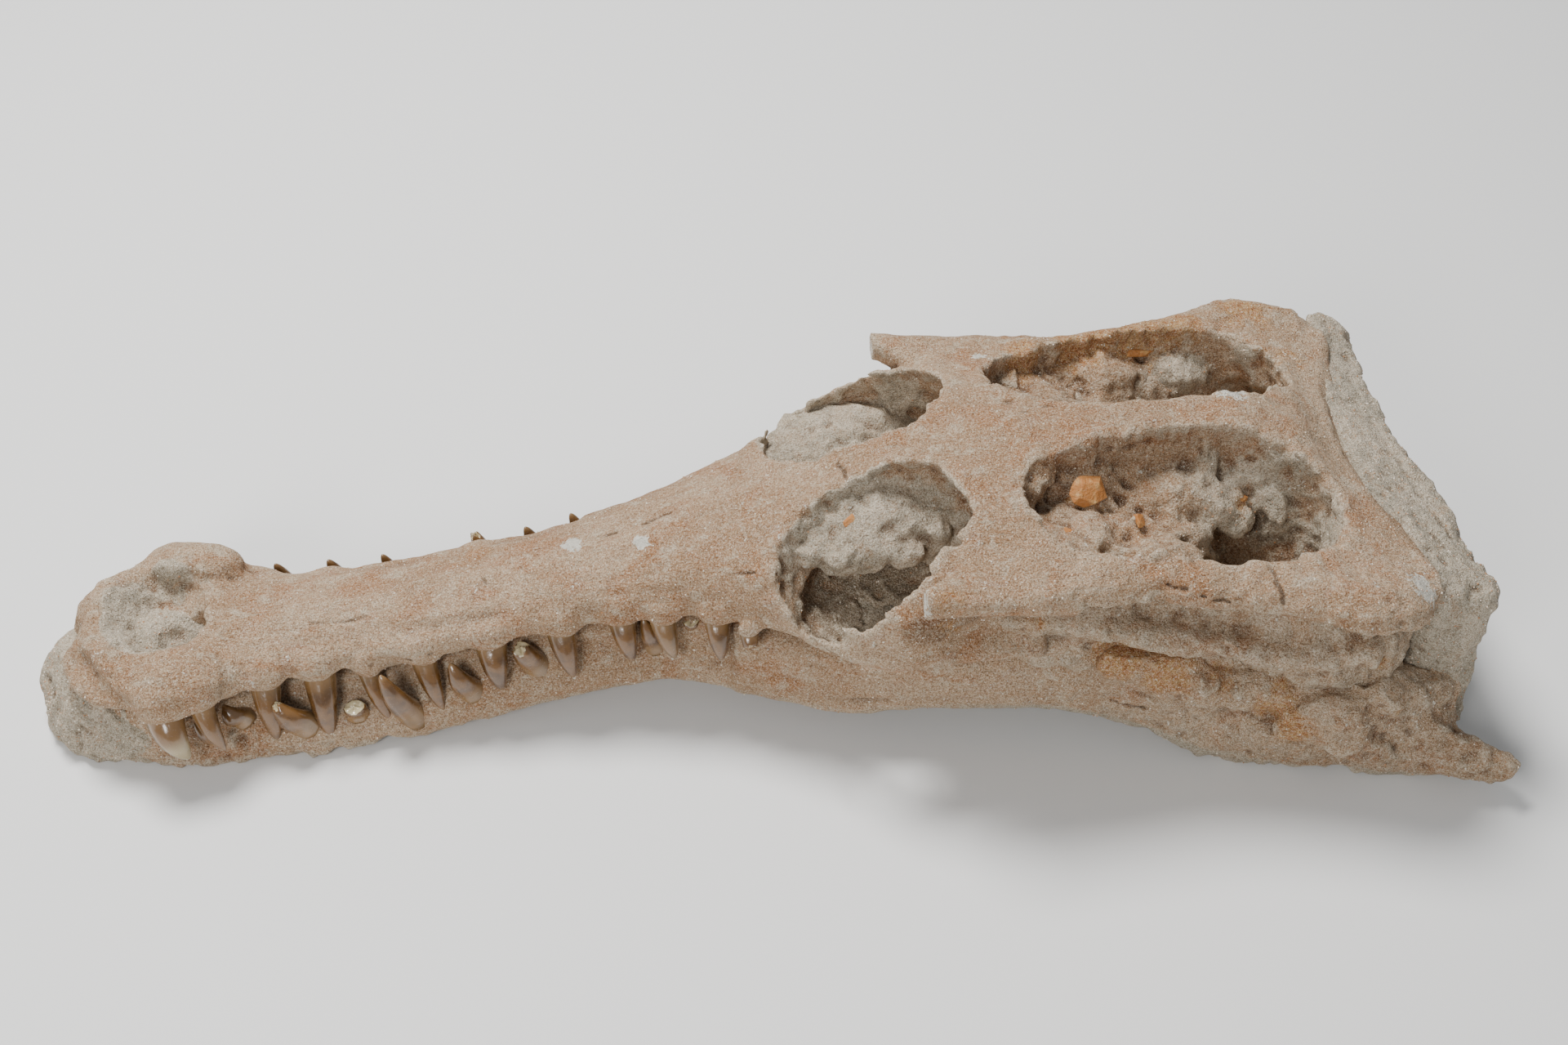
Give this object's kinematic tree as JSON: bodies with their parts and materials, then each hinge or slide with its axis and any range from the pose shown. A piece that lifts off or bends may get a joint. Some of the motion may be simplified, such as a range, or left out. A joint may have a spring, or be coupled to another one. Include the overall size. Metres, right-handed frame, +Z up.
{
  "type": "fossil long-snouted crocodile skull",
  "caption": "Long, narrow crocodile skull with its lower jaw shut and pegged teeth, open on top behind the eyes, with hardened rock left in its hollows.",
  "frame": {"origin": "the middle of the bounding box's underside, on the surface that the lower jaw rests on", "axes": "+X runs along the skull from the snout to the back of the jaw, +Z is up, and the skull's left side is -Y"},
  "size_m": [0.6833, 0.254, 0.143],
  "materials": {
    "bone": "matt fossil bone, tan with rusty stains, and glossy brown tooth crowns",
    "jaw_bone": "matt fossil bone, tan to grey brown with rusty stains, and glossy brown tooth crowns",
    "rock": "rough, sandy pale grey rock"
  },
  "bodies": {
    "root": {"cranium": "bone", "mandible": "jaw_bone", "snout_rock": "rock", "rear_rock": "rock", "throat_rock": "rock", "naris_rock": "rock", "cheek_rock_left": "rock", "cheek_rock_right": "rock", "orbit_rock_left": "rock", "orbit_rock_right": "rock"}
  },
  "joints": []
}
